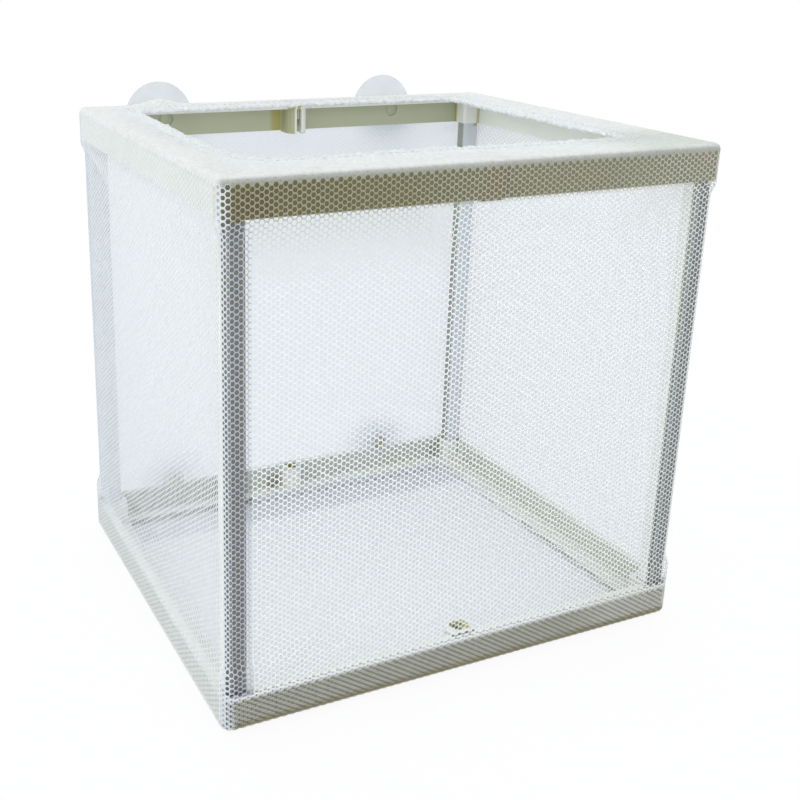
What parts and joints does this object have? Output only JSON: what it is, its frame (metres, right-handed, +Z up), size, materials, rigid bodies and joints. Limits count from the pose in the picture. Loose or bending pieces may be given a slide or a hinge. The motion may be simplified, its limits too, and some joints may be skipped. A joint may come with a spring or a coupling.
{
  "type": "fry breeding net",
  "caption": "Open-topped aquarium breeding box: a knock-down plastic frame inside a fine white net bag with an elastic hem, held to the glass by suction cups.",
  "frame": {"origin": "middle of the base, on the underside of the net floor; the cups are left out of the centring", "axes": "+Z up, -Y the front, +Y towards the glass the cups hold, +X to the right seen from the front"},
  "size_m": [0.1516, 0.1366, 0.1557],
  "materials": {
    "ivory_plastic": "satin ivory moulding",
    "clear_soft_plastic": "clear soft PVC, slightly milky",
    "white_netting": "white warp-knitted polyester net",
    "white_elastic": "white covered elastic"
  },
  "bodies": {
    "frame_and_net": {"base_ring_left": "ivory_plastic", "base_ring_right": "ivory_plastic", "top_ring_left": "ivory_plastic", "top_ring_right": "ivory_plastic", "post_front_left": "ivory_plastic", "post_front_right": "ivory_plastic", "post_rear_left": "ivory_plastic", "post_rear_right": "ivory_plastic", "net_front": "white_netting", "net_rear": "white_netting", "net_left": "white_netting", "net_right": "white_netting", "net_floor": "white_netting", "mouth_hem": "white_netting", "hem_elastic": "white_elastic"},
    "cup_low_left": {"cup_low_left": "clear_soft_plastic"},
    "cup_low_right": {"cup_low_right": "clear_soft_plastic"},
    "cup_top_left": {"cup_top_left": "clear_soft_plastic"},
    "cup_top_right": {"cup_top_right": "clear_soft_plastic"}
  },
  "joints": [
    {"name": "cup_low_left_swivel", "type": "hinge", "parent": "frame_and_net", "child": "cup_low_left", "pos_m": [-0.04635, 0.065, 0.0131], "axis": [0, 1, 0], "continuous": true},
    {"name": "cup_low_right_swivel", "type": "hinge", "parent": "frame_and_net", "child": "cup_low_right", "pos_m": [0.03885, 0.065, 0.0131], "axis": [0, 1, 0], "continuous": true},
    {"name": "cup_top_left_swivel", "type": "hinge", "parent": "frame_and_net", "child": "cup_top_left", "pos_m": [-0.04635, 0.065, 0.1447], "axis": [0, 1, 0], "continuous": true},
    {"name": "cup_top_right_swivel", "type": "hinge", "parent": "frame_and_net", "child": "cup_top_right", "pos_m": [0.03885, 0.065, 0.1447], "axis": [0, 1, 0], "continuous": true}
  ]
}
